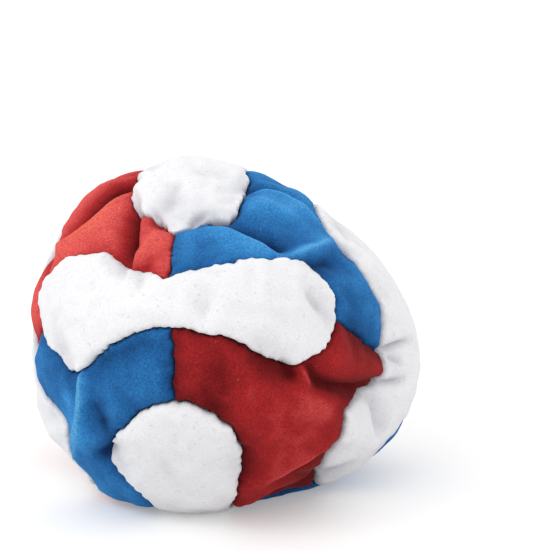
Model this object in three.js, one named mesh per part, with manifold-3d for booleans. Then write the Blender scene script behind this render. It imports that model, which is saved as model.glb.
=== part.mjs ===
// A sewn footbag: fourteen suede panels, the threads of their seams and the sand inside.
// Millimetres, +Z up, front towards -Y. The bag is laid out as a round ball, and then every
// point is moved to where it lies once the slack bag has settled on a flat surface.
import * as THREE from "three";
import Module from "manifold-3d";
import { mergeVertices } from "three/addons/utils/BufferGeometryUtils.js";

// The cover: the ball that the panels are cut for, and the cloth with its rolled edges
const BALL_DIAMETER = 54;
const SUEDE_THICKNESS = 1.1;
const EDGE_DROP = 0.7;
const EDGE_ROUND = 1.8;
const SEAM_ALLOWANCE = 1.2;

// The white dogbone panel, as it is cut flat
const LOBE_RADIUS = 9.4;
const LOBE_REACH = 17.2;
const NECK_WIDTH = 10.4;

// The thread, with the room that it has between two panels
const THREAD_DIAMETER = 0.5;
const CLEARANCE = 0.3;

// How far the sand can rise inside the cover
const HEADSPACE = 6;

// How the ball lies, in degrees: turned about the upright, tipped to the front, leaned aside
const TURN = -10.5;
const TIP = 30;
const LEAN = -1;

// The surface under the ball's middle, and the height in which the cover curves onto it
const FLOOR_DEPTH = 24.4;
const FLOOR_BLEND = 5;

// Where the slack cover sags or bulges: azimuth from the front and elevation in degrees,
// then the move to the right and up, and how far from there it is felt, all in mm
const SAGS = [
  { azimuth: 0, elevation: 88, right: -4.5, up: -1.5, reach: 14 },
  { azimuth: 75, elevation: 45, right: -0.5, up: -3, reach: 14 },
  { azimuth: 92, elevation: 0, right: 4.5, up: -4.5, reach: 14 },
  { azimuth: 75, elevation: -42, right: 2.5, up: -0.5, reach: 14 },
  { azimuth: -12, elevation: -28, right: 0, up: -2.5, reach: 14 },
  { azimuth: -95, elevation: 5, right: 0.5, up: -5, reach: 14 },
  { azimuth: -80, elevation: 48, right: -1.5, up: -1, reach: 14 },
  { azimuth: 42, elevation: 12, right: -2, up: 2, reach: 14 },
  { azimuth: 35, elevation: -62, right: -1.5, up: 1.5, reach: 12 },
  { azimuth: -22, elevation: 58, right: -2, up: -3.5, reach: 8 },
  { azimuth: -50, elevation: 66, right: 4.5, up: -1, reach: 8 },
  { azimuth: 35, elevation: 62, right: 1, up: -1.5, reach: 8 },
  { azimuth: 68, elevation: -2, right: -3, up: -0.5, reach: 8 },
  { azimuth: -68, elevation: -12, right: 1.5, up: -1.5, reach: 8 },
  { azimuth: 55, elevation: -32, right: 1.5, up: 0, reach: 8 },
];

// How finely the outlines and the round pieces are stepped
const LOBE_STEPS = 6;
const NECK_STEPS = 4;
const SEAM_STEPS = 3;
const THREAD_SIDES = 5;
const SAND_DETAIL = 5;

// Sizes that follow from those above
const BALL_RADIUS = BALL_DIAMETER / 2;
const HALF_GAP = THREAD_DIAMETER / 2 + CLEARANCE;
const THREAD_DEPTH = EDGE_DROP + SUEDE_THICKNESS;
const TURNED_IN = THREAD_DEPTH + SEAM_ALLOWANCE;
const QUARTER_STEPS = LOBE_STEPS + NECK_STEPS;
const ARM_SHARE = 0.35;
const MIDDLE_SHARE = 0.5;
const MOST_INSET = 0.45;

const WHITE = new THREE.MeshStandardMaterial({ color: "#eeeef0", roughness: 0.9, metalness: 0 });
const RED = new THREE.MeshStandardMaterial({ color: "#b3262c", roughness: 0.9, metalness: 0 });
const BLUE = new THREE.MeshStandardMaterial({ color: "#256bb0", roughness: 0.9, metalness: 0 });
const THREAD = new THREE.MeshStandardMaterial({ color: "#3a3d46", roughness: 0.7, metalness: 0 });
const SAND = new THREE.MeshStandardMaterial({ color: "#c8b285", roughness: 1, metalness: 0 });

const X = new THREE.Vector3(1, 0, 0);
const Y = new THREE.Vector3(0, 1, 0);
const Z = new THREE.Vector3(0, 0, 1);
const times = (vector, factor) => vector.clone().multiplyScalar(factor);

// The six dogbones: the side of the ball that each lies on, and the way that it runs
const DOGBONES = [
  { name: "front", out: times(Y, -1), along: X, closing: false },
  { name: "back", out: Y, along: times(X, -1), closing: true },
  { name: "right", out: X, along: Z, closing: false },
  { name: "left", out: times(X, -1), along: Z, closing: false },
  { name: "top", out: Z, along: Y, closing: false },
  { name: "bottom", out: times(Z, -1), along: Y, closing: false },
];

const wasm = await Module();
wasm.setup();

// A closed geometry as a solid that can be cut, and back.
function solid(geometry) {
  const bare = geometry.clone();
  bare.deleteAttribute("normal");
  bare.deleteAttribute("uv");
  const merged = mergeVertices(bare, 1e-4);
  const vertProperties = new Float32Array(merged.attributes.position.array);
  const triVerts = new Uint32Array(merged.index.array);
  return new wasm.Manifold(new wasm.Mesh({ numProp: 3, vertProperties, triVerts }));
}

function geometryOf(manifold) {
  const mesh = manifold.getMesh();
  const geometry = new THREE.BufferGeometry();
  geometry.setAttribute("position", new THREE.BufferAttribute(mesh.vertProperties, 3));
  geometry.setIndex(new THREE.BufferAttribute(mesh.triVerts, 1));
  return geometry;
}

// The resting bag
const RESTING = new THREE.Matrix4()
  .makeRotationZ(THREE.MathUtils.degToRad(TURN))
  .multiply(new THREE.Matrix4().makeRotationX(THREE.MathUtils.degToRad(-TIP)))
  .multiply(new THREE.Matrix4().makeRotationY(THREE.MathUtils.degToRad(LEAN)));

const PULLS = SAGS.map(({ azimuth, elevation, right, up, reach }) => {
  const polar = THREE.MathUtils.degToRad(90 - elevation);
  const around = THREE.MathUtils.degToRad(azimuth - 90);
  const flat = BALL_RADIUS * Math.sin(polar);
  const height = BALL_RADIUS * Math.cos(polar);
  const at = new THREE.Vector3(flat * Math.cos(around), flat * Math.sin(around), height);
  return { at, move: new THREE.Vector3(right, 0, up), reach };
});

// Where a point of the round ball lies in the resting bag. All the points below one spot of the
// surface move as that spot does, so the cloth keeps its thickness.
function settle(point) {
  const share = point.length() / BALL_RADIUS;
  const surface = times(point, 1 / share).applyMatrix4(RESTING);
  const moved = new THREE.Vector3();
  for (const { at, move, reach } of PULLS) {
    moved.addScaledVector(move, Math.exp(-surface.distanceToSquared(at) / (2 * reach ** 2)));
  }
  const settled = times(surface, share).add(moved);
  const depth = -surface.z - moved.z;
  const above = FLOOR_DEPTH - depth;
  if (above < FLOOR_BLEND) {
    const rise = Math.max(above, 0);
    const eased = (rise ** 2 * (2 * FLOOR_BLEND - rise)) / FLOOR_BLEND ** 2;
    settled.multiplyScalar((FLOOR_DEPTH - eased) / depth);
  }
  settled.z += FLOOR_DEPTH;
  return settled;
}

function settleGeometry(geometry) {
  const position = geometry.attributes.position;
  const point = new THREE.Vector3();
  for (let i = 0; i < position.count; i += 1) {
    const settled = settle(point.fromBufferAttribute(position, i));
    position.setXYZ(i, settled.x, settled.y, settled.z);
  }
  return geometry;
}

// A skin over rings of equally many points. Rings may meet themselves, as at a pole.
function loft(rings) {
  const corners = [];
  const addTriangle = (a, b, c) => {
    if (a.distanceTo(b) > 1e-4 && b.distanceTo(c) > 1e-4 && c.distanceTo(a) > 1e-4) {
      corners.push(a, b, c);
    }
  };
  for (let r = 1; r < rings.length; r += 1) {
    const last = rings[r - 1];
    const ring = rings[r];
    for (let i = 0; i < ring.length; i += 1) {
      const next = (i + 1) % ring.length;
      addTriangle(last[i], ring[i], ring[next]);
      addTriangle(last[i], ring[next], last[next]);
    }
  }
  return new THREE.BufferGeometry().setFromPoints(corners);
}

// The way from the ball's middle to a spot some mm along a dogbone and across it.
function wrap({ out, along, across }, x, y) {
  const a = x / BALL_RADIUS;
  const b = y / BALL_RADIUS;
  return times(out, Math.cos(b) * Math.cos(a))
    .addScaledVector(along, Math.cos(b) * Math.sin(a))
    .addScaledVector(across, Math.sin(b));
}

const between = (from, to, share) => from.clone().lerp(to, share).normalize();

// A quarter of the flat dogbone's outline from the tip of a lobe to the neck, grown by some mm
// and kept off the dogbone's two middle lines by the trim.
function quarterOutline(grow, trim) {
  const lobe = LOBE_RADIUS + grow;
  const neck = NECK_WIDTH / 2 + grow;
  const hollow = (LOBE_REACH ** 2 + neck ** 2 - lobe ** 2) / (2 * (lobe - neck));
  const turn = Math.atan2(neck + hollow, -LOBE_REACH);
  const tipStart = Math.asin(trim / lobe);
  const neckEnd = -Math.acos(trim / hollow);
  const round = new THREE.EllipseCurve(LOBE_REACH, 0, lobe, lobe, tipStart, turn);
  const waist = new THREE.EllipseCurve(
    0, neck + hollow, hollow, hollow, turn - Math.PI, neckEnd, true,
  );
  return [...round.getPoints(LOBE_STEPS), ...waist.getPoints(NECK_STEPS).slice(1)];
}

// The four quarters of a dogbone in turn, each point with the point of the spine that it is
// measured from.
function dogboneOutline({ out, along }, grow) {
  const across = out.clone().cross(along);
  const flat = quarterOutline(grow, 0);
  const outline = [];
  for (const [toTip, toSide] of [[1, 1], [-1, 1], [-1, -1], [1, -1]]) {
    const side = { out, along: times(along, toTip), across: times(across, toSide) };
    const quarter = flat.map(({ x, y }) => ({
      edge: wrap(side, x, y),
      foot: wrap(side, Math.min(x, LOBE_REACH), 0),
    }));
    if (toTip !== toSide) {
      quarter.reverse();
    }
    outline.push(...quarter.slice(0, -1));
  }
  return outline;
}

// A corner panel between three dogbones. Its outline follows a quarter of each, with a short
// straight seam after each quarter, and is measured from three arms that meet in the middle.
function cornerOutline(x, y, z) {
  const sides = [
    { out: y, along: x, across: z },
    { out: z, along: y, across: x },
    { out: x, along: z, across: y },
  ];
  const flat = quarterOutline(HALF_GAP, HALF_GAP);
  const quarters = sides.map((side) => flat.map((p) => wrap(side, p.x, p.y)));
  const centre = x.clone().add(y).add(z).normalize();
  const seams = quarters.map((quarter, i) => {
    const from = quarter[QUARTER_STEPS];
    const to = quarters[(i + 1) % 3][0];
    return { from, to, foot: between(between(from, to, 0.5), centre, ARM_SHARE) };
  });
  const half = QUARTER_STEPS / 2;
  const outline = [];
  for (let i = 0; i < 3; i += 1) {
    const before = seams[(i + 2) % 3].foot;
    const after = seams[i].foot;
    quarters[i].forEach((edge, j) => {
      const foot = j < half
        ? between(before, centre, j / half)
        : between(centre, after, (j - half) / half);
      outline.push({ edge, foot });
    });
    for (let k = 1; k < SEAM_STEPS; k += 1) {
      outline.push({ edge: between(seams[i].from, seams[i].to, k / SEAM_STEPS), foot: after });
    }
  }
  const mirrored = x.clone().cross(y).dot(z) < 0;
  return mirrored ? outline.reverse() : outline;
}

// A panel: its skin, which rolls down at the edge, and the allowance turned in along the seam.
function panelGeometry(outline) {
  const ring = (share, depth) => outline.map(({ edge, foot }) => (
    times(between(foot, edge, share), BALL_RADIUS - depth)
  ));
  const inset = (mm, depth) => outline.map(({ edge, foot }) => {
    const width = foot.angleTo(edge) * BALL_RADIUS;
    const share = 1 - Math.min(mm / width, MOST_INSET);
    return times(between(foot, edge, share), BALL_RADIUS - depth);
  });
  return settleGeometry(loft([
    ring(0, 0),
    ring(MIDDLE_SHARE, 0),
    inset(EDGE_ROUND, 0),
    inset(0, EDGE_DROP),
    inset(0, TURNED_IN),
    inset(SUEDE_THICKNESS, TURNED_IN),
    inset(SUEDE_THICKNESS, EDGE_DROP + SUEDE_THICKNESS),
    ring(MIDDLE_SHARE, SUEDE_THICKNESS),
    ring(0, SUEDE_THICKNESS),
  ]));
}

// A thread along points of the ball, as a closed round or with two ends.
function threadGeometry(ways, closed) {
  const path = ways.map((way) => times(way, BALL_RADIUS - THREAD_DEPTH));
  const count = path.length;
  const rings = path.map((at, i) => {
    const before = path[closed ? (i + count - 1) % count : Math.max(i - 1, 0)];
    const after = path[closed ? (i + 1) % count : Math.min(i + 1, count - 1)];
    const up = at.clone().normalize();
    const aside = up.clone().cross(after.clone().sub(before)).normalize();
    return Array.from({ length: THREAD_SIDES }, (_, k) => {
      const angle = (2 * Math.PI * k) / THREAD_SIDES;
      return at.clone()
        .addScaledVector(up, (THREAD_DIAMETER / 2) * Math.cos(angle))
        .addScaledVector(aside, (THREAD_DIAMETER / 2) * Math.sin(angle));
    });
  });
  if (closed) {
    rings.push(rings[0]);
  } else {
    rings.unshift(rings[0].map(() => path[0]));
    rings.push(rings[0].map(() => path[count - 1]));
  }
  return settleGeometry(loft(rings));
}

// The short seam from a dogbone's tip to the neck of the dogbone that it points at. It stops
// short of the two threads that it meets.
function shortSeam(dogbone, end) {
  const side = { out: dogbone.out, along: times(dogbone.along, end), across: X };
  const start = LOBE_REACH + LOBE_RADIUS + THREAD_DIAMETER + CLEARANCE;
  const stop = (Math.PI / 2) * BALL_RADIUS - NECK_WIDTH / 2 - THREAD_DIAMETER - CLEARANCE;
  return Array.from({ length: SEAM_STEPS + 1 }, (_, k) => (
    wrap(side, start + ((stop - start) * k) / SEAM_STEPS, 0)
  ));
}

// The room inside the turned-in edges, and the sand, which leaves the headspace above it.
function sandGeometry() {
  const radius = BALL_RADIUS - TURNED_IN - CLEARANCE;
  const room = settleGeometry(new THREE.IcosahedronGeometry(radius, SAND_DETAIL));
  const lowered = room.clone().translate(0, 0, -HEADSPACE);
  return geometryOf(solid(room).intersect(solid(lowered)));
}

const bag = new THREE.Group();

function addPiece(name, geometry, material) {
  const mesh = new THREE.Mesh(geometry, material);
  mesh.name = name;
  bag.add(mesh);
}

for (const dogbone of DOGBONES) {
  const panel = panelGeometry(dogboneOutline(dogbone, -HALF_GAP));
  addPiece(`white_panel_${dogbone.name}`, panel, WHITE);
}

for (const [depthName, y] of [["front", times(Y, -1)], ["back", Y]]) {
  for (const [heightName, z] of [["top", Z], ["bottom", times(Z, -1)]]) {
    for (const [sideName, x] of [["left", times(X, -1)], ["right", X]]) {
      const red = x.clone().cross(y).dot(z) > 0;
      const name = `${red ? "red" : "blue"}_panel_${depthName}_${heightName}_${sideName}`;
      addPiece(name, panelGeometry(cornerOutline(x, y, z)), red ? RED : BLUE);
    }
  }
}

for (const dogbone of DOGBONES) {
  const round = dogboneOutline(dogbone, 0).map(({ edge }) => edge);
  addPiece(`thread_round_${dogbone.name}`, threadGeometry(round, true), THREAD);
  for (const end of [1, -1]) {
    const toward = times(dogbone.along, end);
    const met = DOGBONES.find(({ out }) => out.dot(toward) > 0.5);
    const kind = dogbone.closing && end > 0 ? "closing_thread" : "thread";
    const geometry = threadGeometry(shortSeam(dogbone, end), false);
    addPiece(`${kind}_${dogbone.name}_to_${met.name}`, geometry, THREAD);
  }
}

addPiece("sand_fill", sandGeometry(), SAND);

// The part stands on the middle of its own box.
const box = new THREE.Box3().setFromObject(bag);
const middle = box.getCenter(new THREE.Vector3());
bag.position.set(-middle.x, -middle.y, -box.min.z);

const footbag = new THREE.Group();
footbag.add(bag);
export default footbag;
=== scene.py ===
"""The footbag: its suede panels with their folds, the stitches in the seams and the sand inside."""

import math

import bmesh
import bpy
import numpy as np
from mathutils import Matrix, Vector
from mathutils.geometry import delaunay_2d_cdt
from mathutils.kdtree import KDTree


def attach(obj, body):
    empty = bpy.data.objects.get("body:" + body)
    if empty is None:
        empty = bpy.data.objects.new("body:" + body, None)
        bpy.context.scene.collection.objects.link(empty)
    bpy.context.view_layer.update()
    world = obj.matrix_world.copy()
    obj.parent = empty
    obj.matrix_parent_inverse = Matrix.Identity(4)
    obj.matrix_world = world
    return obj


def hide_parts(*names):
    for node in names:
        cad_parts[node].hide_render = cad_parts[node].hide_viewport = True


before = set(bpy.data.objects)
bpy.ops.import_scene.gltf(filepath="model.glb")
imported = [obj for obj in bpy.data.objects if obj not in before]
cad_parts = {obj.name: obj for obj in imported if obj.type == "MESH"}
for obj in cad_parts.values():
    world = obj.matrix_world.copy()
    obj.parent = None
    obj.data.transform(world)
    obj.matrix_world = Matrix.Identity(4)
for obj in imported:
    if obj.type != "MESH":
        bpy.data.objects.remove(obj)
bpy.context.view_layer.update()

# Lengths are in millimetres up to the finished meshes, which are in metres.
MM = 0.001

# The photograph: its side in pixels, where the middle of the sewn ball lies in it, and its scale
PHOTO_SIDE = 551
BALL_PIXEL = (211.5, 323.2)
PIXELS_PER_MM = 6.756

# The sewn ball's middle in the frame and its radius
BALL_MIDDLE = np.array([-1.92, 0.0, 24.4])
BALL_RADIUS = 27.0

# The camera's place as seen from there, its sensor, and the nearest and farthest that it sees, in m
CAMERA_DISTANCE = 420.0
CAMERA_ELEVATION = math.radians(18.0)
SENSOR_WIDTH = 36.0
CLIP_START = 0.01
CLIP_END = 20

# How a pixel's ray is followed to the bag: from before its middle to behind it, and the steps
MARCH_BEFORE = 34.0
MARCH_AFTER = 12.0
MARCH_STEP = 0.1

# Reading the solids: the decimals to which their points are joined, how far a face of the outer
# skin faces out at least, the turn at a panel's corner, and the degree of the bag's smooth shape
WELD_DECIMALS = 3
SKIN_FACING = 0.4
CORNER_TURN = math.radians(40)
DEGREE = 10

# The solids' seams are this wide for their threads; the cloth nearly closes them.
CAD_SEAM_WIDTH = 1.1
SEAM_WIDTH = 0.2

# An outline that is moved in keeps the points that stay this share of the move away from it.
CLEAR_SHARE = 0.9

# The cloth: the spacing of its points in a row, of its rows and along its edge, the least share of
# the first that two points keep, its thickness, the depth of its turned-in edge, and how softly it
# meets the floor
GRID = 0.36
ROW_GAP = GRID * math.sqrt(0.75)
OUTLINE_STEP = 0.25
LEAST_GAP = 0.6
CLOTH_THICKNESS = 0.8
TURNED_IN = 1.3
FLOOR_EASE = 0.5

# A panel's flat map: a direction that sets its sides, and how near a fold must be to a panel's middle
# to be on it, as a cosine
MAP_SIDE = np.array([0.3, -0.5, 0.8])
FOLD_FACING = 0.3

# The tone of flat cloth; how much paler it is painted per mm of height, which is painted light on
# crests and swells and painted shade in creases, hollows and seams; and how much paler each whole
# panel is painted where light falls on it, or darker where it is in painted shade
PLAIN_TONE = 0.56
PAINTED_LIGHT_PER_MM = 0.32
PAINTED_PANEL_LIGHT = {
    "red_panel_front_top_left": 0.38,
    "blue_panel_front_top_right": 0.17,
    "blue_panel_front_bottom_left": 0.11,
    "red_panel_front_bottom_right": -0.14,
}

# The tones at which the suede takes its colour in painted shade, its plain colour, its colour in
# painted light and in the palest painted light, and how far its mottles change them
TONES = (0.25, 0.65, 1.0, 1.4)
MOTTLE = 0.18

# How a panel's edge rolls into the seam, and how the cloth dips towards it: depths and widths.
# The white panels are sewn over the coloured ones, so their edges stand proud.
WHITE_EDGE = {"roll": 0.25, "roll_width": 0.35, "dip": 0.0, "dip_width": 2.0}
COLOURED_EDGE = {"roll": 0.5, "roll_width": 0.7, "dip": 0.4, "dip_width": 1.6}

# Smooth noise: how many waves it sums, and their range of frequencies
WAVE_COUNT = 20
WAVE_RANGE = (0.75, 1.35)

# Seams waver as they are sewn: wavelength and how far they stray
SEAM_WAVER = ((1.1, 0.06), (1.7, 0.08), (2.8, 0.09), (7.0, 0.14))

# Stitches: their pitch, the dimple that each pulls, the pucker that runs from it, and the range
# from which the square root of a pucker's strength is drawn
STITCH_PITCH = 1.8
DIMPLE_DEPTH = 0.14
DIMPLE_WIDTH = 0.5
PUCKER_DEPTH = 0.18
PUCKER_WIDTH = 0.5
PUCKER_LENGTH = 1.4
PUCKER_RANGE = (0.1, 1.0)

# Threads: their radius, the steps of their round, how far they swing from side to side, and their
# depth below the cloth
THREAD_RADIUS = 0.17
THREAD_STEPS = 2
THREAD_SWING = 0.25
THREAD_DEPTH = 1.4

# Soft unevenness of the filling under the cloth: wavelength and height
LUMPS = ((13.0, 0.12), (6.0, 0.05), (3.0, 0.035))

# How sharp the line of a fold is, how round that line still is, in mm, how many times its width a
# fold reaches, the share of its height that it keeps at its ends, and how steeply it rises from them
SHARPNESS = 1.3
FOLD_ROUND = 0.15
FOLD_REACH = 4
FOLD_END = 0.35
FOLD_TAPER = 4

# The cloth simulation: the fineness of its shell, the narrowest fold in it, its length, its units
# per mm, the slack that the cover gains, the lesser slack near its seams and how far from them that
# is, and how strongly it keeps to its place
SHELL_SPLITS = 6
SHELL_FOLD = 1.2
SIM_FRAMES = 25
SIM_SCALE = 0.1
SLACK = 0.04
SEAM_SLACK = 0.03
SEAM_REACH = 1.2
HOLD = 0.15
CLOTH_SETTINGS = {
    "quality": 5,
    "mass": 0.05,
    "air_damping": 5,
    "tension_stiffness": 15,
    "compression_stiffness": 15,
    "shear_stiffness": 15,
    "bending_stiffness": 0.1,
}

# The most that a point of the cover drifts in it, and how the panels take that up from the shell:
# from how many of its points, and the width over which they blend
MOST_DRIFT = 2.0
DRIFT_POINTS = 12
DRIFT_BLEND = 0.8

# How far below the cover's outside the sand stays, how much more at the seams and how wide that is,
# and how far its joint lifts it
SAND_DEPTH = 1.7
SAND_DEPTH_AT_SEAMS = 2.1
SEAM_ROOM = 2.5
SAND_LIFT = 6.0

# The sand's surface: cuts in each edge of its solid, the sizes of its grains, their height, and how
# far they are sunk
SAND_CUTS = 7
GRAIN_SIZES = (1.2, 0.8)
GRAIN_HEIGHT = 0.07
GRAIN_SINK = 0.2

# Each suede's colour in painted shade, its plain colour, its colour in painted light and in the
# palest painted light, the weight of its sheen, how dark it is between its fibres and in its pits,
# and how pale its lint is
SUEDES = {
    "white": {
        "colours": [(0.6, 0.6, 0.64), (0.87, 0.87, 0.89), (0.91, 0.91, 0.92), (0.91, 0.91, 0.92)],
        "sheen": 0.1, "fuzz": 0.9, "pit": 0.86, "lint": 0.0,
    },
    "red": {
        "colours": [
            (0.138, 0.004, 0.006), (0.458, 0.021, 0.024), (0.85, 0.105, 0.097), (0.96, 0.16, 0.12)],
        "sheen": 0.3, "fuzz": 0.54, "pit": 0.86, "lint": 0.15,
    },
    "blue": {
        "colours": [
            (0.004, 0.032, 0.128), (0.019, 0.149, 0.426), (0.049, 0.309, 0.724), (0.128, 0.49, 0.916)],
        "sheen": 0.3, "fuzz": 0.54, "pit": 0.86, "lint": 0.15,
    },
}

# The noise of the suede's mottles, fibres, pits and lint: its size in mm, its detail, and the two
# values between which it changes the colour
MOTTLE_NOISE = (2.0, 4)
FIBRE_NOISE, FIBRE_RANGE = (0.28, 4), (0.3, 0.7)
PIT_NOISE, PIT_RANGE = (0.7, 3), (0.28, 0.38)
LINT_NOISE, LINT_RANGE = (0.5, 1), (0.78, 0.84)

# The suede's roughness, gloss and sheen, and the strength and height in mm of its fibres' bump
SUEDE_ROUGHNESS = 0.95
SUEDE_SPECULAR = 0.15
SHEEN_ROUGHNESS = 0.45
BUMP_STRENGTH = 0.6
BUMP_HEIGHT = 0.06

# The thread and the sand: their noise, their colours at values of that noise, and their surface
PLY_NOISE = (0.25, 2)
PLY_COLOURS = [(0.3, (0.02, 0.022, 0.03)), (0.7, (0.07, 0.075, 0.09))]
THREAD_ROUGHNESS = 0.6
THREAD_SHEEN = 0.2
GRAIN_NOISE = (0.4, 5)
GRAIN_COLOURS = [
    (0.3, (0.28, 0.2, 0.09)), (0.5, (0.55, 0.42, 0.22)), (0.7, (0.75, 0.65, 0.45))]
SAND_ROUGHNESS = 0.9

# The floor: half its side in m, its depth below the bag in mm, its grey, and the grey by which it is
# seen brighter than it is lit
FLOOR_HALF = 3.0
FLOOR_DROP = 0.05
FLOOR_GREY = 0.8
FLOOR_GLOW = 0.25

# The light: the strength of the surroundings as they light the bag and as they are seen, and the
# lamp's place and size in mm, and its watts
WORLD_LIGHT = 1.05
WORLD_SEEN = 1.0
LAMP_PLACE = (-420, -180, 480)
LAMP_SIZE = 220
LAMP_WATTS = 0.64

# Lengths below these count as none: in a division, and between points that are joined.
NEARLY_ZERO = 1e-12
MERGE_DISTANCE = 1e-6

SEED = 7


def unit(v):
    """Vectors made one long."""
    return v / np.linalg.norm(v, axis=-1, keepdims=True)


def tree_of(points):
    """A search tree of points."""
    tree = KDTree(len(points))
    for i, point in enumerate(points):
        tree.insert(point, i)
    tree.balance()
    return tree


def closest(points, targets):
    """Each point's distance to the nearest target, and which one that is."""
    tree = tree_of(targets)
    found = [tree.find(point)[1:] for point in points]
    return np.array([d for _, d in found]), np.array([i for i, _ in found])


def waves(points, wavelength, rng):
    """Smooth noise of about that wavelength, between -1 and 1 or so."""
    ways = unit(rng.normal(size=(WAVE_COUNT, 3))) * rng.uniform(*WAVE_RANGE, (WAVE_COUNT, 1))
    phase = rng.uniform(0, 2 * math.pi, WAVE_COUNT)
    turns = points @ ways.T * (2 * math.pi / wavelength) + phase
    return np.cos(turns).sum(1) / math.sqrt(WAVE_COUNT)


# Camera and photograph

VIEW = np.array([0.0, math.cos(CAMERA_ELEVATION), -math.sin(CAMERA_ELEVATION)])
VIEW_UP = np.array([0.0, math.sin(CAMERA_ELEVATION), math.cos(CAMERA_ELEVATION)])
CAMERA_AT = BALL_MIDDLE - VIEW * CAMERA_DISTANCE
HALF_SIDE = PHOTO_SIDE / 2
AIM = (
    BALL_MIDDLE
    + np.array([1.0, 0.0, 0.0]) * (HALF_SIDE - BALL_PIXEL[0]) / PIXELS_PER_MM
    + VIEW_UP * (BALL_PIXEL[1] - HALF_SIDE) / PIXELS_PER_MM
)
FOCAL_PIXELS = PIXELS_PER_MM * CAMERA_DISTANCE


def make_camera():
    """The camera, where the photograph was taken from."""
    data = bpy.data.cameras.new("camera")
    data.sensor_width = SENSOR_WIDTH
    data.lens = SENSOR_WIDTH * FOCAL_PIXELS / PHOTO_SIDE
    data.clip_start = CLIP_START
    data.clip_end = CLIP_END
    camera = bpy.data.objects.new("camera", data)
    camera.location = CAMERA_AT * MM
    aim = Vector(AIM - CAMERA_AT)
    camera.rotation_euler = aim.to_track_quat("-Z", "Y").to_euler()
    bpy.context.scene.collection.objects.link(camera)
    bpy.context.scene.camera = camera


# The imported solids

def read_node(name):
    """Points in mm from the ball's middle, and triangles that share their corners."""
    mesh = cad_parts[name].data
    mesh.calc_loop_triangles()
    points = np.array([v.co for v in mesh.vertices]) / MM - BALL_MIDDLE
    corners = np.array([t.vertices for t in mesh.loop_triangles])
    points, index = np.unique(points.round(WELD_DECIMALS), axis=0, return_inverse=True)
    return points, index.reshape(-1)[corners]


def edge_loop(triangles):
    """The points round the open edge of a patch, counterclockwise as the patch is seen."""
    edges = {(a, b) for t in triangles.tolist() for a, b in zip(t, t[1:] + t[:1])}
    after = {a: b for a, b in edges if (b, a) not in edges}
    loop = [min(after)]
    while after[loop[-1]] != loop[0] and len(loop) < len(after):
        loop.append(after[loop[-1]])
    if len(loop) != len(after):
        raise ValueError(f"a patch's edge of {len(after)} points isn't one loop")
    return np.array(loop)


def read_skin(name):
    """The rim of a panel's outer skin in order, and the points of the skin inside the rim."""
    points, triangles = read_node(name)
    a, b, c = (points[triangles[:, k]] for k in range(3))
    facing = (unit(np.cross(b - a, c - a)) * unit(a + b + c)).sum(1)
    skin = triangles[facing > SKIN_FACING]
    rim = edge_loop(skin)
    return points[rim], points[np.setdiff1d(skin, rim)]


# The smooth shape of the resting bag: its radius in every direction, from the solids' skins

POWERS = [
    (i, j, total - i - j)
    for total in (DEGREE - 1, DEGREE)
    for i in range(total + 1)
    for j in range(total + 1 - i)
]


def powers_of(ways):
    """The terms of the bag's shape in these directions."""
    table = ways[:, :, None] ** np.arange(DEGREE + 1)
    return np.stack([table[:, 0, i] * table[:, 1, j] * table[:, 2, k] for i, j, k in POWERS], 1)


PANELS = [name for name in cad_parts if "_panel_" in name]
RIMS, SKINS = {}, {}
for panel in PANELS:
    RIMS[panel], SKINS[panel] = read_skin(panel)
ALL_SKIN = np.concatenate(list(SKINS.values()))
ALL_RADII = np.linalg.norm(ALL_SKIN, axis=1)
SHAPE = np.linalg.lstsq(powers_of(unit(ALL_SKIN)), ALL_RADII, rcond=None)[0]


def on_bag(ways, height=0.0):
    """Points on the resting bag in these directions from its middle, some mm above its skin."""
    return ways * (powers_of(ways) @ SHAPE + height)[:, None]


def seen_at(pixels):
    """The directions of the points of the bag that the photograph shows at these pixels."""
    ahead = unit(AIM - CAMERA_AT)
    right = unit(np.cross(ahead, [0.0, 0.0, 1.0]))
    up = np.cross(right, ahead)
    x, y = (np.array(pixels, float) - HALF_SIDE).T / FOCAL_PIXELS
    rays = unit(ahead + x[:, None] * right - y[:, None] * up)
    start = CAMERA_AT - BALL_MIDDLE
    depths = -(rays @ start)[:, None] + np.arange(-MARCH_BEFORE, MARCH_AFTER, MARCH_STEP)
    places = start + depths[:, :, None] * rays[:, None]
    ways = unit(places)
    skin = (powers_of(ways.reshape(-1, 3)) @ SHAPE).reshape(depths.shape)
    above = np.linalg.norm(places, axis=2) - skin
    first = np.where(above.min(1) < 0, (above < 0).argmax(1), above.argmin(1))
    return ways[np.arange(len(rays)), first]


# Outlines of the panels, along the middle of the seams

# The most that a seam shifts, as a share of the shift's reach
MOST_SHIFT = 1.5

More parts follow.
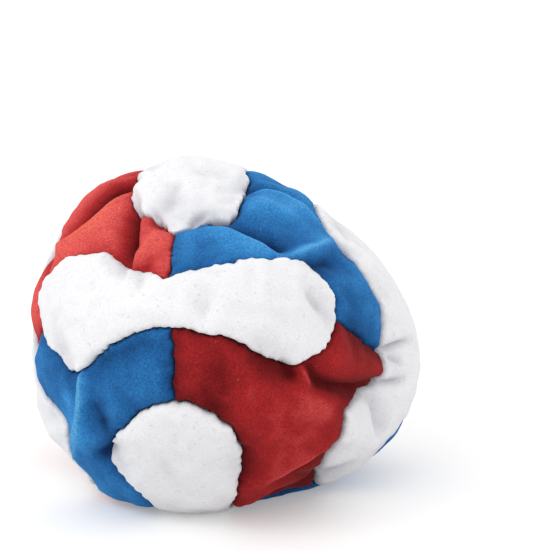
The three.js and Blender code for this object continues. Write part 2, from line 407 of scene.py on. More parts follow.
# Where the photograph's seams leave the solids' seams: from a pixel, to a pixel, and the reach of
# that shift in mm
SEAM_SHIFTS = {
    "front lobe, upper left": ((103, 267), (103, 251), 2.6),
    "front lobe, left end": ((44, 303), (42, 303), 2.2),
    "front lobe, lower left": ((49, 353), (53, 352), 1.6),
    "front neck, upper left": ((142, 273), (142, 268), 1.5),
    "notch in the front neck": ((163, 273), (164, 278), 1.4),
    "front neck, lower right": ((203, 329), (203, 333), 2.0),
    "front lobe, upper right": ((268, 252), (268, 259), 2.6),
    "front lobe, top of the right end": ((288, 255), (288, 258), 1.3),
    "front lobe, right corner": ((307, 273), (312, 267), 1.6),
    "front lobe, right end": ((335, 305), (331, 306), 1.0),
    "front lobe, lower right": ((297, 359), (297, 364), 2.0),
    "seam over the front neck": ((166, 258), (171.5, 258), 2.2),
    "bottom lobe, left": ((122, 451), (109, 453), 2.5),
    "bottom lobe, low left": ((128, 472), (121, 474), 2.4),
    "bottom lobe, upper right": ((217, 410), (214, 414), 2.0),
    "bottom lobe, right": ((243, 442), (238, 442), 1.6),
    "bottom lobe, lower right": ((247, 463), (242, 463), 1.2),
    "bottom lobe, low right": ((237, 477), (236, 476), 1.6),
    "right neck": ((372, 366), (385, 367), 2.4),
    "blue corner, low tip": ((372, 344), (378, 352), 1.8),
    "right lobe, inner edge": ((325, 437), (340, 431), 2.6),
    "right lobe, tip": ((309, 471), (312, 478), 2.0),
    "right lobe, low corner": ((318, 459), (313, 458), 1.4),
    "right lobe, low": ((336, 474), (340, 483), 4.5),
    "right lobe, upper edge": ((341, 254), (348, 251), 2.0),
    "right lobe, neck edge": ((378, 315), (382, 314), 1.6),
    "blue corner, far seam": ((275, 188), (282, 176), 3.5),
    "blue corner, far end": ((296, 201), (303, 193), 3.0),
    "top lobe, upper right": ((237, 180), (250, 179), 2.6),
    "top lobe, far right": ((240, 168), (255, 170), 3.0),
    "top lobe, left": ((142, 221), (145, 215), 1.6),
    "top lobe, upper left": ((130, 187), (133, 186), 1.8),
    "top lobe, right": ((243, 202), (240, 203), 1.6),
    "top lobe, low right": ((227, 225), (226, 222), 1.4),
    "top lobe, lower right": ((206, 229), (204, 216), 2.0),
    "top lobe, lower left": ((152, 231), (163, 221), 2.2),
    "left lobe, inner edge": ((48, 397), (62, 396), 4.0),
    "left lobe, upper end": ((33, 365), (36, 365), 2.0),
    "left lobe, low": ((80, 455), (73, 457), 3.2),
    "left lobe, under the bag": ((89, 480), (79, 487), 4.0),
    "red corner's foot": ((285, 484), (291, 496), 4.5),
    "red corner, far seam": ((72, 216), (64, 208), 4.0),
    "front lobe, left shoulder": ((57, 259), (68, 263), 2.2),
    "right lobe, far end": ((406, 409), (412, 412), 2.5),
    "right lobe, under the bag": ((364, 459), (371, 466), 3.2),
    "red corner, left seam": ((57, 252), (48, 248), 3.0),
    "right neck, far side": ((415, 354), (421, 353), 2.5),
    "right neck, far edge": ((410, 394), (418, 395), 3.0),
    "right lobe, far edge": ((394, 440), (390, 434), 6.0),
}


def seam_shift(start, end, reach):
    """Where a shift of the seams is, how it goes and its reach."""
    at, to = on_bag(seen_at([start, end]))
    return at, (to - at) * min(1, MOST_SHIFT * reach / np.linalg.norm(to - at)), reach


SHIFTS = [seam_shift(*shift) for shift in SEAM_SHIFTS.values()]


def sewn(line):
    """A seam's line as it was sewn: shifted as the photograph shows it, and wavering a little."""
    moved = line.copy()
    for at, shift, reach in SHIFTS:
        near = np.exp(-((line - at) ** 2).sum(1) / (2 * reach**2))
        moved += near[:, None] * shift
    rng = np.random.default_rng(SEED)
    for wavelength, stray in SEAM_WAVER:
        moved += stray * np.stack([waves(moved, wavelength, rng) for _ in range(3)], 1)
    return unit(moved)


def spline(points, closed):
    """A smooth curve through points, stepped finely."""
    count = len(points)
    if closed:
        around = np.concatenate([points[-1:], points, points[:2]])
    else:
        first, last = 2 * points[:1] - points[1:2], 2 * points[-1:] - points[-2:-1]
        around = np.concatenate([first, points, last])
    pieces = []
    for i in range(count if closed else count - 1):
        p0, p1, p2, p3 = around[i : i + 4]
        steps = max(int(round(np.linalg.norm(p2 - p1) / OUTLINE_STEP)), 1)
        t = (np.arange(steps) / steps)[:, None]
        m1, m2 = (p2 - p0) / 2, (p3 - p1) / 2
        pieces.append(
            p1 * (2 * t**3 - 3 * t**2 + 1)
            + m1 * (t**3 - 2 * t**2 + t)
            + p2 * (3 * t**2 - 2 * t**3)
            + m2 * (t**3 - t**2)
        )
    if not closed:
        pieces.append(points[-1:])
    return np.concatenate(pieces)


def grown_outline(rim, grow):
    """The directions of the rim moved out along the bag, smooth but for its corners."""
    ahead = unit(np.roll(rim, -1, 0) - rim)
    aside = np.cross(ahead, unit(rim))
    before = np.roll(aside, 1, 0)
    cosine = (aside * before).sum(1)
    grown = rim + grow * (aside + before) / (1 + cosine)[:, None]
    corners = np.flatnonzero(cosine < math.cos(CORNER_TURN))
    if len(corners) == 0:
        return sewn(spline(grown, True))
    grown = np.roll(grown, -corners[0], 0)
    corners = np.append(corners - corners[0], len(rim))
    runs = [
        spline(np.take(grown, range(a, b + 1), 0, mode="wrap"), False)[:-1]
        for a, b in zip(corners, corners[1:])
    ]
    return sewn(np.concatenate(runs))


def drawn_in(outline, by):
    """An outline moved in along the bag, without the points that come too near to its corners."""
    line = on_bag(outline)
    run = np.roll(line, -1, 0) - line
    ahead = unit(run + np.roll(run, 1, 0))
    moved = line - by * np.cross(ahead, outline)
    off = moved[:, None] - line
    share = np.clip((off * run).sum(2) / (run**2).sum(1), 0, 1)
    gap = np.linalg.norm(off - share[:, :, None] * run, axis=2).min(1)
    return unit(moved[gap > CLEAR_SHARE * by])


def evenly(ways, pitch):
    """Points at an even pitch along a line of directions."""
    line = on_bag(ways)
    length = np.append(0, np.linalg.norm(np.diff(line, axis=0), axis=1).cumsum())
    count = max(int(round(length[-1] / pitch)), 2)
    at = (np.arange(count) + 0.5) * length[-1] / count
    return unit(np.stack([np.interp(at, length, ways[:, k]) for k in range(3)], 1))


def short_seam(name):
    """The line of a short seam, from one end of its thread to the other."""
    points, _ = read_node(name)
    middle = points.mean(0)
    run = np.linalg.svd(points - middle)[2][0]
    reach = (points - middle) @ run
    ends = np.stack([points[reach.argmin()], middle, points[reach.argmax()]])
    return sewn(spline(on_bag(unit(ends)), False))


SEAM_LINES = {}
for thread in (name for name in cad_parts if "thread" in name):
    if "_round_" in thread:
        rim = RIMS[thread.replace("thread_round", "white_panel")]
        closed_line = grown_outline(rim, CAD_SEAM_WIDTH / 2)
        SEAM_LINES[thread] = np.concatenate([closed_line, closed_line[:1]])
    else:
        SEAM_LINES[thread] = short_seam(thread)
SEAM_POINTS = on_bag(np.concatenate(list(SEAM_LINES.values())))
STITCHES = on_bag(np.concatenate([evenly(line, STITCH_PITCH) for line in SEAM_LINES.values()]))
PUCKERS = np.random.default_rng(SEED).uniform(*PUCKER_RANGE, len(STITCHES)) ** 2


# Folds of the slack cloth

# Each fold that the photograph shows: where it runs in the photograph's pixels, its height in mm,
# which is negative for a valley, and how wide it is to its left and to its right, going along it
FOLDS = {
    "crease under the top lobe": (
        [(135.5, 196), (135, 211), (133, 227), (131, 240), (128.5, 251), (126, 263)], -2.0, 0.5, 2.0),
    "lip of that crease": ([(159, 232), (146, 247), (136, 258)], 0.8, 1.3, 1.3),
    "hollow in that lip": ([(153, 253), (147, 261), (141, 266)], -0.5, 0.7, 0.7),
    "shoulder of the red corner": (
        [(68, 239), (84, 230), (103, 214), (120, 197), (135, 187)], 0.7, 0.5, 3.0),
    "band behind that shoulder": ([(75, 227), (96, 211), (114, 195), (135, 181)], -1.2, 1.0, 0.5),
    "nick by the front lobe": ([(58, 241), (61, 248), (64, 255)], 0.5, 1.6, 0.6),
    "hollow over the front lobe": ([(76, 250), (90, 241), (108, 247)], -0.4, 1.8, 1.8),
    "fold from the top lobe": (
        [(206, 229), (229, 231), (248, 240), (266, 249), (277, 254)], 0.9, 0.5, 3.2),
    "hollow over that fold": (
        [(229, 226), (245, 231), (262, 239), (280, 245), (293, 244)], -2.1, 2.5, 0.8),
    "ridge to the right lobe": ([(288, 257), (303, 251), (322, 243), (330, 241)], 0.9, 1.2, 0.9),
    "hollow under that ridge": ([(306, 262), (320, 263), (338, 259)], -1.2, 0.8, 1.6),
    "brow of the blue corner": (
        [(248, 191), (264, 191), (279, 195), (291, 202), (316, 221)], 0.9, 0.4, 3.0),
    "band behind that brow": (
        [(247, 186), (263, 187), (279, 191), (291, 197), (303, 206), (314, 215)], -0.9, 0.9, 0.5),
    "streak under that brow": ([(265, 199), (254, 207), (245, 216)], 0.8, 1.6, 1.6),
    "swell under that brow": ([(258, 204), (270, 208), (284, 213), (300, 222)], 0.9, 2.0, 2.2),
    "dimple in the front lobe": ([(306, 290), (315, 302), (326, 313)], -0.9, 1.4, 0.9),
    "neck fold, left": ([(141, 273), (140, 282), (139, 292)], -0.5, 0.5, 0.6),
    "neck fold, right": ([(208, 294), (207, 306), (205, 318), (203, 330)], -0.4, 0.4, 1.6),
    "sharp edge of the blue corner": (
        [(80, 368), (79, 390), (79, 408), (78, 434), (76, 455)], 1.0, 0.5, 0.3),
    "bulge of the left panel": ([(36, 390), (44, 420), (60, 447)], 0.9, 3.0, 3.0),
    "swell by that edge": ([(81, 425), (83, 440), (87, 455)], 0.5, 2.0, 1.6),
    "shade under the front lobe": ([(92, 366), (118, 356), (146, 344)], -0.5, 0.8, 2.4),
    "dent by the bottom lobe": ([(89, 402), (97, 416), (106, 432)], -0.8, 1.6, 1.6),
    "nick by the bottom lobe": ([(96, 460), (105, 455), (115, 449)], -1.4, 0.7, 1.0),
    "dent under the front lobe": ([(284, 363), (290, 374), (298, 381)], -1.3, 0.6, 0.8),
    "ridge beside that dent": ([(302, 366), (308, 379), (315, 387)], 0.6, 0.6, 0.9),
    "valley to the right neck": (
        [(311, 369), (318, 379), (332, 385), (347, 388), (360, 389), (368, 385)], -2.0, 0.7, 1.4),
    "lobe over that valley": ([(322, 362), (345, 364), (372, 368)], 0.4, 2.5, 2.2),
    "soft valley by the seam": ([(220, 362), (223, 380), (226, 402)], -0.3, 2.0, 2.0),
    "low fold at the base": ([(321, 452), (303, 461), (282, 472), (266, 480)], 0.6, 0.7, 2.4),
    "hollow under that fold": ([(318, 459), (302, 467), (286, 476)], -0.5, 0.8, 0.8),
    "tuck at the base": (
        [(262, 503), (280, 497), (300, 491), (322, 481), (345, 468)], -1.2, 3.0, 3.0),
    "tuck at the left": ([(32, 325), (31, 350), (33, 378)], -0.6, 3.0, 3.0),
    "tuck beside the front lobe": ([(40, 282), (47, 260), (56, 236)], -1.1, 2.5, 2.5),
    "tuck behind the top lobe": ([(112, 176), (130, 169), (146, 163), (160, 158)], -1.2, 2.5, 2.5),
    "tuck under the left lobe": ([(70, 458), (78, 470), (90, 484)], -0.5, 2.0, 2.0),
    "bulge at the foot": ([(94, 478), (110, 493), (130, 502)], 0.6, 2.5, 2.5),
    "neck crease, upper": ([(382, 351), (392, 348), (400, 344), (411, 341)], -1.3, 0.4, 0.4),
    "neck crease, middle": ([(390, 357), (397, 361), (404, 365)], -0.7, 0.4, 0.4),
    "neck crease, lower": ([(375, 381), (385, 383), (395, 383), (406, 380)], -1.2, 0.4, 0.4),
    "fold of the right lobe": ([(363, 397), (373, 404), (377, 422), (379, 440)], -0.6, 2.4, 0.6),
    "crumple at the top lobe's edge": ([(191, 223), (198, 215), (206, 210)], -1.2, 0.4, 0.6),
    "crease at the top lobe's right": ([(215, 213), (221, 218), (228, 224)], -0.9, 0.4, 0.6),
    "hollow in the top lobe's tip": ([(155, 207), (158, 214), (162, 222)], -1.0, 0.4, 0.6),
    "hollow in the top lobe": ([(179, 180), (173, 192), (168, 204)], -0.6, 0.9, 1.1),
}

# Folds whose crests get a painted highlight: how much paler it paints them, and the width of that
# line in mm
PAINTED_CREST_HIGHLIGHTS = {
    "sharp edge of the blue corner": 0.8,
    "brow of the blue corner": 0.25,
    "fold from the top lobe": 0.15,
    "ridge to the right lobe": 0.35,
    "shoulder of the red corner": 0.2,
    "ridge beside that dent": 0.2,
    "low fold at the base": 0.2,
}
CREST_WIDTH = 0.3

# Strokes of painted light and painted shade, where the cloth is painted paler or darker as light
# falls on it, written as the folds are, with a change of tone
PAINTED_LIGHT_STROKES = {
    "band behind the red shoulder": ([(79, 224), (99, 208), (116, 191), (135, 178)], -0.55, 4.0, 0.6),
    "light on the red shoulder": ([(68, 240), (86, 233), (105, 218), (121, 202)], 0.12, 1.0, 2.0),
    "foot of the red corner": ([(140, 262), (152, 268), (163, 272)], -0.1, 1.5, 1.5),
    "blue beyond the sharp edge": ([(62, 388), (65, 408), (66, 430)], 0.5, 2.5, 2.5),
    "blue before the sharp edge": ([(85, 376), (84, 392), (83, 404)], 0.22, 1.5, 1.2),
    "red by the right panel": ([(304, 390), (322, 403), (334, 424)], 0.24, 3.0, 2.8),
    "low part of the red panel": ([(252, 446), (272, 454), (292, 458)], 0.1, 3.0, 3.0),
    "arm of the red panel": ([(338, 350), (354, 358), (368, 364)], -0.04, 2.0, 2.0),
    "middle of the red panel": ([(246, 388), (256, 397), (264, 404)], 0.1, 1.6, 1.6),
    "blue beside the front lobe": ([(338, 280), (352, 305), (366, 330)], -0.17, 2.5, 2.5),
    "red under the front neck": ([(178, 345), (195, 350), (215, 353)], -0.12, 3.0, 3.0),
    "red by the crease": ([(104, 230), (110, 242), (114, 252)], 0.1, 2.0, 2.0),
    "blue by the bottom lobe": ([(98, 418), (104, 428), (109, 438)], -0.26, 1.2, 1.2),
}

# The panels that the photograph hides get some folds of their own: how many each, how far they stray
# from the panel's middle, the places on their way there as shares of it, the factors for a valley
# and a ridge, and the ranges of their heights and widths
HIDDEN_PANELS = [
    "white_panel_back", "white_panel_left", "red_panel_back_top_right",
    "red_panel_back_bottom_left", "blue_panel_back_top_left", "blue_panel_back_bottom_right",
]
HIDDEN_FOLDS = 4
HIDDEN_STRAY = 0.12
HIDDEN_PLACES = np.array([0.12, 0.4, 0.75])[:, None]
HIDDEN_KINDS = [-1.0, 0.6]
HIDDEN_HEIGHTS = (0.6, 1.6)
HIDDEN_WIDTHS = (0.8, 2.6)


def hidden_folds(panel):
    """Folds that start near a panel's seam and run towards its middle."""
    rim = unit(RIMS[panel])
    rng = np.random.default_rng(SEED + PANELS.index(panel))
    for start in rng.permutation(len(rim))[:HIDDEN_FOLDS]:
        goal = unit(rim.mean(0) + HIDDEN_STRAY * rng.normal(size=3))
        path = unit(rim[start] * (1 - HIDDEN_PLACES) + goal * HIDDEN_PLACES)
        height = rng.choice(HIDDEN_KINDS) * rng.uniform(*HIDDEN_HEIGHTS)
        yield path, height, *rng.uniform(*HIDDEN_WIDTHS, 2)


ALL_FOLDS = [(seen_at(path), *shape) for path, *shape in FOLDS.values()]
ALL_FOLDS += [fold for panel in HIDDEN_PANELS for fold in hidden_folds(panel)]
FOLD_LINES = np.concatenate(
    [evenly(unit(spline(on_bag(path), False)), GRID) for path, *_ in ALL_FOLDS])


def fold_height(points, path, height, left, right):
    """How far a fold lifts the cloth at these points."""
    line = spline(on_bag(path), False)
    reach = np.linalg.norm(line - line.mean(0), axis=1).max() + FOLD_REACH * max(left, right)
    near = np.flatnonzero(np.linalg.norm(points - line.mean(0), axis=1) < reach)
    apart = points[near, None] - line[None]
    square = (apart**2).sum(2)
    nearest = square.argmin(1)
    to_left = np.cross(unit(line), np.gradient(line, axis=0))
    on_left = (apart[np.arange(len(near)), nearest] * to_left[nearest]).sum(1) > 0
    distance = np.sqrt(square.min(1) + FOLD_ROUND**2) - FOLD_ROUND
    along = nearest / (len(line) - 1)
    ends = np.clip(FOLD_TAPER * along, 0, 1) * np.clip(FOLD_TAPER * (1 - along), 0, 1)
    across = np.exp(-((distance / np.where(on_left, left, right)) ** SHARPNESS))
    lift = np.zeros(len(points))
    lift[near] = across * (FOLD_END + (1 - FOLD_END) * ends)
    return height * lift


def relief_at(ways, narrowest=0.0):
    """How far the slack cloth stands above the smooth bag in these directions."""
    points = on_bag(ways)
    rng = np.random.default_rng(SEED)
    relief = sum(lift * waves(points, length, rng) for length, lift in LUMPS)
    for path, height, left, right in ALL_FOLDS:
        relief += fold_height(points, path, height, max(left, narrowest), max(right, narrowest))
    return relief


def painted_light_at(ways):
    """How much paler or darker the cloth is painted here, as crest highlights and painted light and
    shade.
    """
    points = on_bag(ways)
    strokes = [
        (FOLDS[name][0], pale, CREST_WIDTH, CREST_WIDTH) for name, pale in PAINTED_CREST_HIGHLIGHTS.items()]
    strokes += PAINTED_LIGHT_STROKES.values()
    return sum(fold_height(points, seen_at(path), *shape) for path, *shape in strokes)


# The cloth simulation

def settle_cloth():
    """Lets the slack cover settle as cloth. Returns how far it drifts in any direction."""
    ball = bmesh.new()
    bmesh.ops.create_icosphere(ball, subdivisions=SHELL_SPLITS, radius=1)
    ways = unit(np.array([v.co for v in ball.verts]))
    triangles = np.array([[v.index for v in face.verts] for face in ball.faces])
    ball.free()
    start = on_bag(ways, relief_at(ways, SHELL_FOLD))
    mesh = bpy.data.meshes.new("shell")
    mesh.from_pydata(start * SIM_SCALE, [], triangles.tolist())
    shell = bpy.data.objects.new("shell", mesh)
    bpy.context.scene.collection.objects.link(shell)
    shell.vertex_groups.new(name="hold").add(range(len(ways)), HOLD, "REPLACE")
    seams = shell.vertex_groups.new(name="seams")
    from_seam, _ = closest(on_bag(ways), SEAM_POINTS)
    for i, near in enumerate(np.exp(-((from_seam / SEAM_REACH) ** 2))):
        seams.add([i], near, "REPLACE")
    cloth = shell.modifiers.new("cloth", "CLOTH")
    cloth.point_cache.frame_end = SIM_FRAMES
    cloth.collision_settings.use_collision = False
    settings = cloth.settings
    for name, value in CLOTH_SETTINGS.items():
        setattr(settings, name, value)
    settings.vertex_group_mass = "hold"
    settings.vertex_group_shrink = "seams"
    settings.shrink_min = -SLACK
    settings.shrink_max = -SEAM_SLACK
    settings.effector_weights.gravity = 0
    for step in range(1, SIM_FRAMES + 1):
        bpy.context.scene.frame_set(step)
    settled = shell.evaluated_get(bpy.context.evaluated_depsgraph_get()).data
    places = np.empty(len(ways) * 3)
    settled.vertices.foreach_get("co", places)
    drift = places.reshape(-1, 3) / SIM_SCALE - start
    bpy.data.objects.remove(shell)
    bpy.context.scene.frame_set(1)
    drift -= ways * (drift * ways).sum(1).mean()
    far = np.linalg.norm(drift, axis=1, keepdims=True)
    drift *= np.minimum(1, MOST_DRIFT / np.maximum(far, NEARLY_ZERO))
    tree = tree_of(ways)

    def drift_at(where):
        found = [tree.find_n(way, DRIFT_POINTS) for way in where]
        apart = np.array([[hit[2] for hit in hits] for hits in found]) * BALL_RADIUS / DRIFT_BLEND
        shares = np.exp(-(apart**2))[:, :, None]
        near = np.array([[hit[1] for hit in hits] for hits in found])
        return (drift[near] * shares).sum(1) / shares.sum(1)

    return drift_at


DRIFT = settle_cloth()


# Panels

def flat_map(pole):
    """Functions between directions near a pole and a flat map of them in mm."""
    east = unit(np.cross(MAP_SIDE, pole))
    north = np.cross(pole, east)

    def to_map(ways):
        angle = np.arccos(np.clip(ways @ pole, -1, 1))
        flat = np.stack([ways @ east, ways @ north], 1)
        return unit(flat + NEARLY_ZERO) * angle[:, None] * BALL_RADIUS

    def from_map(flat):
        angle = np.linalg.norm(flat, axis=1)[:, None] / BALL_RADIUS
        away = unit(flat + NEARLY_ZERO) @ np.stack([east, north])
        return np.cos(angle) * pole + np.sin(angle) * away

    return to_map, from_map


def inside(points, outline):
    """Which points of the flat map lie inside the outline."""
    x, y = points.T
    odd = np.zeros(len(points), bool)
    for (x1, y1), (x2, y2) in zip(outline, np.roll(outline, -1, 0)):
        if y1 != y2:
            odd ^= ((y1 > y) != (y2 > y)) & (x < (x2 - x1) * (y - y1) / (y2 - y1) + x1)
    return odd


def flat_distance(points, targets):
    """Each point's distance to the nearest target on the flat map."""
    return closest(np.pad(points, ((0, 0), (0, 1))), np.pad(targets, ((0, 0), (0, 1))))[0]


def cloth_grid(outline):
    """An even mesh inside an outline on the bag: directions and triangles."""
    pole = unit(outline.mean(0))
    to_map, from_map = flat_map(pole)
    edge = to_map(outline)
    low, high = edge.min(0), edge.max(0)
    rows = np.arange(low[1], high[1], ROW_GAP)
    columns = np.arange(low[0], high[0], GRID)
    grid = np.array([(x + GRID / 2 * (k % 2), y) for k, y in enumerate(rows) for x in columns])
    folds = to_map(FOLD_LINES[FOLD_LINES @ pole > FOLD_FACING])
    kept = edge
    for more in (folds, grid):
        more = more[inside(more, edge)]
        kept = np.concatenate([kept, more[flat_distance(more, kept) > LEAST_GAP * GRID]])
    points = [Vector(p) for p in kept]
    found = delaunay_2d_cdt(points, [], [list(range(len(edge)))], 1, MERGE_DISTANCE)
    flat, triangles = np.array([tuple(p) for p in found[0]]), np.array(found[2])
    a, b, c = (flat[triangles[:, k]] for k in range(3))
    turned = (b - a)[:, 0] * (c - a)[:, 1] < (b - a)[:, 1] * (c - a)[:, 0]
    triangles[turned] = triangles[turned][:, ::-1]
    return from_map(flat), triangles


def seam_relief(ways, outline, edge):
    """How far the cloth drops at its seam, where it rolls in and the stitches pull it."""
    points = on_bag(ways)
    from_seam, _ = closest(points, on_bag(outline))
    roll = np.clip(from_seam / edge["roll_width"], 0, 1)
    height = edge["roll"] * (np.sqrt(1 - (1 - roll) ** 2) - 1)
    height -= edge["dip"] * np.exp(-((from_seam / edge["dip_width"]) ** 2))
    from_stitch, stitch = closest(points, STITCHES)
    along = np.sqrt(np.maximum(from_stitch**2 - from_seam**2, 0))
    height -= DIMPLE_DEPTH * np.exp(-((from_stitch / DIMPLE_WIDTH) ** 2))
    pucker = PUCKER_DEPTH * PUCKERS[stitch]
    return height - pucker * np.exp(-((along / PUCKER_WIDTH) ** 2) - from_seam / PUCKER_LENGTH)


def make_mesh(name, points, faces):
    """A smooth mesh object from points in mm from the ball's middle."""
    mesh = bpy.data.meshes.new(name)
    mesh.from_pydata((points + BALL_MIDDLE) * MM, [], np.asarray(faces).tolist())
    mesh.polygons.foreach_set("use_smooth", np.ones(len(mesh.polygons), bool))
    piece = bpy.data.objects.new(name, mesh)
    bpy.context.scene.collection.objects.link(piece)
    return piece


def turn_in(points, triangles, ways):
    """Adds the edge that is turned in along the seam."""
    rim = edge_loop(triangles)
    count, first = len(rim), len(points)
    sunk = [points[rim] - ways[rim] * depth for depth in (TURNED_IN / 2, TURNED_IN)]
    rings = [rim, np.arange(first, first + count), np.arange(first + count, first + 2 * count)]
    walls = []
    for upper, lower in zip(rings, rings[1:]):
        next_upper, next_lower = np.roll(upper, -1), np.roll(lower, -1)
        walls.append(np.stack([upper, lower, next_lower], 1))
        walls.append(np.stack([upper, next_lower, next_upper], 1))
    return np.concatenate([points, *sunk]), np.concatenate([triangles, *walls])


def above_floor(height):
    """Heights eased onto the floor, which nothing goes below."""
    return (height + np.sqrt(height**2 + FLOOR_EASE**2)) / 2


def make_panel(panel, material):
    """A panel of the cover, with its folds, its seams' pull and its turned-in edge."""
    outline = drawn_in(grown_outline(RIMS[panel], CAD_SEAM_WIDTH / 2), SEAM_WIDTH / 2)
    ways, triangles = cloth_grid(outline)
    relief = relief_at(ways)
    edge = WHITE_EDGE if panel.startswith("white") else COLOURED_EDGE
    points = on_bag(ways, relief + seam_relief(ways, outline, edge)) + DRIFT(ways)
    points[:, 2] = above_floor(points[:, 2] + BALL_MIDDLE[2]) - BALL_MIDDLE[2]
    height = np.linalg.norm(points, axis=1) - np.linalg.norm(on_bag(ways), axis=1)
    # The tone is painted light and shade: paler on crests, darker in creases and seams, plus strokes
    tone = PLAIN_TONE + PAINTED_LIGHT_PER_MM * height + painted_light_at(ways)
    points, faces = turn_in(points, triangles, ways)
    piece = make_mesh(f"cloth_{panel}", points, faces)
    tones = np.zeros(len(points), np.float32)
    # Each panel's painted light, or painted shade, for how the light falls on it
    tones[: len(tone)] = (tone + PAINTED_PANEL_LIGHT.get(panel, 0.0)) / TONES[-1]
    piece.data.attributes.new("tone", "FLOAT", "POINT").data.foreach_set("value", tones)
    piece.data.materials.append(material)
    solid = piece.modifiers.new("thickness", "SOLIDIFY")
    solid.thickness = CLOTH_THICKNESS * MM
    solid.offset = -1
    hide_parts(panel)
    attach(piece, "cover")
    return piece


# Materials

def new_material(name):
    """A material, its nodes, their links and its shader."""
    material = bpy.data.materials.new(name)
    material.use_nodes = True
    nodes = material.node_tree.nodes
    return material, nodes, material.node_tree.links, nodes["Principled BSDF"]


def noise(nodes, links, size, detail):
    """Noise with features of about that size in mm, fixed to the object."""
    place = nodes.new("ShaderNodeTexCoord")
    texture = nodes.new("ShaderNodeTexNoise")
    texture.inputs["Scale"].default_value = 1 / (size * MM)
    texture.inputs["Detail"].default_value = detail
    links.new(place.outputs["Object"], texture.inputs["Vector"])
    return texture.outputs["Fac"]


def ramp(nodes, links, value, stops):
    """Colours for a value between 0 and 1."""
    node = nodes.new("ShaderNodeValToRGB")
    ends = node.color_ramp.elements
    while len(ends) < len(stops):
        ends.new(0.5)
    for element, (position, colour) in zip(ends, stops):
        element.position = position
        element.color = (*colour, 1)
    links.new(value, node.inputs["Fac"])
    return node.outputs["Color"]


def greys(nodes, links, value, between, first, second):
    """Greys for a value, from one to the other between two values."""
    stops = [(position, (grey,) * 3) for position, grey in zip(between, (first, second))]
    return ramp(nodes, links, value, stops)


def mixed(nodes, links, kind, first, second):
    """Two colours, blended in full."""
    node = nodes.new("ShaderNodeMix")
    node.data_type = "RGBA"
    node.blend_type = kind
    node.inputs["Factor"].default_value = 1.0
    links.new(first, node.inputs["A"])
    links.new(second, node.inputs["B"])
    return node.outputs["Result"]


def make_suede(name, colours, sheen, fuzz, pit, lint):
    """Brushed suede: mottled nap, fine fibres, painted light on crests and painted shade in creases,
    with pits and lint.
    """
    material, nodes, links, shader = new_material(name)
    # The tone holds the painted light and shade, which pick the colour from the ramp
    tone = nodes.new("ShaderNodeAttribute")
    tone.attribute_name = "tone"
    mottle = nodes.new("ShaderNodeMath")
    mottle.operation = "MULTIPLY_ADD"
    links.new(noise(nodes, links, *MOTTLE_NOISE), mottle.inputs[0])
    mottle.inputs[1].default_value = MOTTLE / TONES[-1]
    links.new(tone.outputs["Fac"], mottle.inputs[2])
    stops = [(level / TONES[-1], colour) for level, colour in zip(TONES, colours)]
    colour = ramp(nodes, links, mottle.outputs["Value"], stops)
    fibre = noise(nodes, links, *FIBRE_NOISE)
    fibres = greys(nodes, links, fibre, FIBRE_RANGE, fuzz, 1.0)
    colour = mixed(nodes, links, "MULTIPLY", colour, fibres)
    pits = greys(nodes, links, noise(nodes, links, *PIT_NOISE), PIT_RANGE, pit, 1.0)
    colour = mixed(nodes, links, "MULTIPLY", colour, pits)
    specks = greys(nodes, links, noise(nodes, links, *LINT_NOISE), LINT_RANGE, 0.0, lint)
    colour = mixed(nodes, links, "SCREEN", colour, specks)
    links.new(colour, shader.inputs["Base Color"])
    shader.inputs["Roughness"].default_value = SUEDE_ROUGHNESS
    shader.inputs["Specular IOR Level"].default_value = SUEDE_SPECULAR
    shader.inputs["Sheen Weight"].default_value = sheen
    shader.inputs["Sheen Roughness"].default_value = SHEEN_ROUGHNESS
    shader.inputs["Sheen Tint"].default_value = (*colours[2], 1)
    bump = nodes.new("ShaderNodeBump")
    bump.inputs["Strength"].default_value = BUMP_STRENGTH
    bump.inputs["Distance"].default_value = BUMP_HEIGHT * MM
    links.new(fibre, bump.inputs["Height"])
    links.new(bump.outputs["Normal"], shader.inputs["Normal"])
    return material


def make_thread_material():
    """Dark twisted thread."""
    material, nodes, links, shader = new_material("thread")
    colour = ramp(nodes, links, noise(nodes, links, *PLY_NOISE), PLY_COLOURS)
    links.new(colour, shader.inputs["Base Color"])
    shader.inputs["Roughness"].default_value = THREAD_ROUGHNESS
    shader.inputs["Sheen Weight"].default_value = THREAD_SHEEN
    return material


def make_sand_material():
    """Sand of paler and darker grains."""
    material, nodes, links, shader = new_material("sand")
    colour = ramp(nodes, links, noise(nodes, links, *GRAIN_NOISE), GRAIN_COLOURS)
    links.new(colour, shader.inputs["Base Color"])
    shader.inputs["Roughness"].default_value = SAND_ROUGHNESS
    return material


# Threads and sand

def make_thread(name, material):
    """Stitches that cross their seam from side to side, down between the turned-in edges."""
    line = SEAM_LINES[name]
    marks = evenly(line, STITCH_PITCH / 2)
    ahead = unit(np.gradient(marks, axis=0))
    side = np.cross(marks, ahead)
    swing = np.where(np.arange(len(marks)) % 2, 1, -1)[:, None] * THREAD_SWING
    path = on_bag(marks, relief_at(marks) - THREAD_DEPTH) + side * swing + DRIFT(marks)
    curve = bpy.data.curves.new(f"stitches_{name}", "CURVE")
    curve.dimensions = "3D"
    curve.bevel_depth = THREAD_RADIUS * MM
    curve.bevel_resolution = THREAD_STEPS
    curve.use_fill_caps = True
    run = curve.splines.new("BEZIER")
    run.bezier_points.add(len(path) - 1)
    run.use_cyclic_u = "_round_" in name
    for point, place in zip(run.bezier_points, (path + BALL_MIDDLE) * MM):
        point.co = place
        point.handle_left_type = point.handle_right_type = "AUTO"
    piece = bpy.data.objects.new(f"stitches_{name}", curve)
    bpy.context.scene.collection.objects.link(piece)
    curve.materials.append(material)
    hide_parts(name)
    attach(piece, "cover")


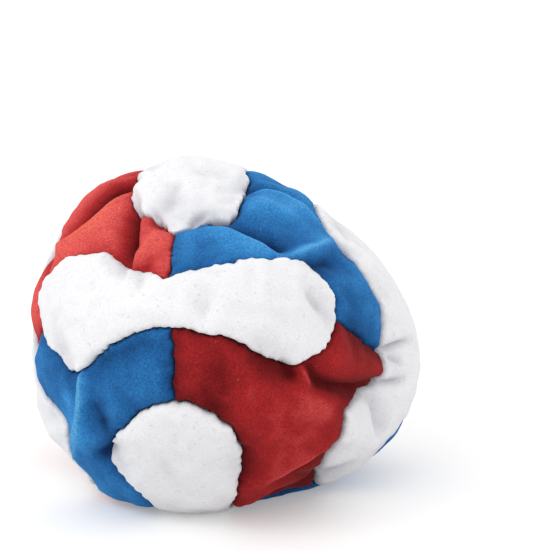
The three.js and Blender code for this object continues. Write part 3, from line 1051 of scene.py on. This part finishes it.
def within_cover(place):
    """The sand's points moved in to where the cover leaves them room, at rest and when lifted."""
    for lift in (0.0, SAND_LIFT):
        lifted = place + np.array([0.0, 0.0, lift])
        ways = unit(lifted)
        from_seam, _ = closest(on_bag(ways), SEAM_POINTS)
        depth = SAND_DEPTH + SAND_DEPTH_AT_SEAMS * np.exp(-((from_seam / SEAM_ROOM) ** 2))
        limit = on_bag(ways, np.minimum(relief_at(ways), 0) - depth) + DRIFT(ways)
        over = np.linalg.norm(lifted, axis=1) - (limit * ways).sum(1)
        place = place - ways * np.maximum(over, 0)[:, None]
    return place


def make_sand(material):
    """The lump of sand, with its grains."""
    points, triangles = read_node("sand_fill")
    piece = make_mesh("sand_grains", points, triangles)
    work = bmesh.new()
    work.from_mesh(piece.data)
    bmesh.ops.subdivide_edges(work, edges=work.edges[:], cuts=SAND_CUTS, use_grid_fill=True)
    work.verts.ensure_lookup_table()
    place = np.array([v.co for v in work.verts]) / MM - BALL_MIDDLE
    rng = np.random.default_rng(SEED)
    grain = sum(waves(place, size, rng) for size in GRAIN_SIZES) * GRAIN_HEIGHT - GRAIN_SINK
    place = within_cover(place) + unit(place) * grain[:, None]
    for vertex, moved in zip(work.verts, (place + BALL_MIDDLE) * MM):
        vertex.co = moved
    work.to_mesh(piece.data)
    work.free()
    piece.data.materials.append(material)
    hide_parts("sand_fill")
    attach(piece, "fill")


# Stage and light

def seeing_rays(nodes, links):
    """1 for the rays by which the surroundings are seen, and 0 for those that light the bag."""
    rays = nodes.new("ShaderNodeLightPath")
    seen = rays.outputs["Is Camera Ray"]
    for kind in ("Is Glossy Ray", "Is Transmission Ray"):
        either = nodes.new("ShaderNodeMath")
        either.operation = "MAXIMUM"
        links.new(seen, either.inputs[0])
        links.new(rays.outputs[kind], either.inputs[1])
        seen = either.outputs["Value"]
    return seen


def make_stage():
    """A plain pale floor, seen a little brighter than it is lit."""
    mesh = bpy.data.meshes.new("floor")
    corners = [(-1, -1, 0), (1, -1, 0), (1, 1, 0), (-1, 1, 0)]
    mesh.from_pydata(np.array(corners) * FLOOR_HALF, [], [(0, 1, 2, 3)])
    floor = bpy.data.objects.new("floor", mesh)
    floor.location.z = -FLOOR_DROP * MM
    bpy.context.scene.collection.objects.link(floor)
    material, nodes, links, shader = new_material("floor")
    shader.inputs["Base Color"].default_value = (FLOOR_GREY, FLOOR_GREY, FLOOR_GREY, 1)
    shader.inputs["Roughness"].default_value = 1.0
    shader.inputs["Specular IOR Level"].default_value = 0.0
    glow = nodes.new("ShaderNodeEmission")
    links.new(seeing_rays(nodes, links), glow.inputs["Strength"])
    glow.inputs["Color"].default_value = (FLOOR_GLOW, FLOOR_GLOW, FLOOR_GLOW, 1)
    both = nodes.new("ShaderNodeAddShader")
    links.new(shader.outputs["BSDF"], both.inputs[0])
    links.new(glow.outputs["Emission"], both.inputs[1])
    links.new(both.outputs["Shader"], nodes["Material Output"].inputs["Surface"])
    mesh.materials.append(material)


def make_world():
    """White surroundings, which light the bag from all sides."""
    world = bpy.data.worlds.new("world")
    bpy.context.scene.world = world
    world.use_nodes = True
    nodes, links = world.node_tree.nodes, world.node_tree.links
    light = nodes["Background"]
    light.inputs["Color"].default_value = (1.0, 1.0, 1.0, 1)
    light.inputs["Strength"].default_value = WORLD_LIGHT
    shown = nodes.new("ShaderNodeBackground")
    shown.inputs["Color"].default_value = (1.0, 1.0, 1.0, 1)
    shown.inputs["Strength"].default_value = WORLD_SEEN
    mix = nodes.new("ShaderNodeMixShader")
    links.new(seeing_rays(nodes, links), mix.inputs["Fac"])
    links.new(light.outputs["Background"], mix.inputs[1])
    links.new(shown.outputs["Background"], mix.inputs[2])
    links.new(mix.outputs["Shader"], nodes["World Output"].inputs["Surface"])


def make_lamp(name, place, size, watts):
    """A soft square lamp at a place in mm that shines at the bag."""
    data = bpy.data.lights.new(name, "AREA")
    data.size = size * MM
    data.energy = watts
    lamp = bpy.data.objects.new(name, data)
    lamp.location = Vector(place) * MM
    lamp.rotation_euler = (Vector(BALL_MIDDLE) - Vector(place)).to_track_quat("-Z", "Y").to_euler()
    bpy.context.scene.collection.objects.link(lamp)


# The whole bag

MATERIALS = {colour: make_suede(f"{colour}_suede", **look) for colour, look in SUEDES.items()}
for panel in PANELS:
    colour = panel.split("_")[0]
    make_panel(panel, MATERIALS[colour])
THREAD = make_thread_material()
for thread in SEAM_LINES:
    make_thread(thread, THREAD)
make_sand(make_sand_material())

make_stage()
make_world()
make_lamp("key", LAMP_PLACE, LAMP_SIZE, LAMP_WATTS)
make_camera()
bpy.context.scene.view_settings.view_transform = "Standard"
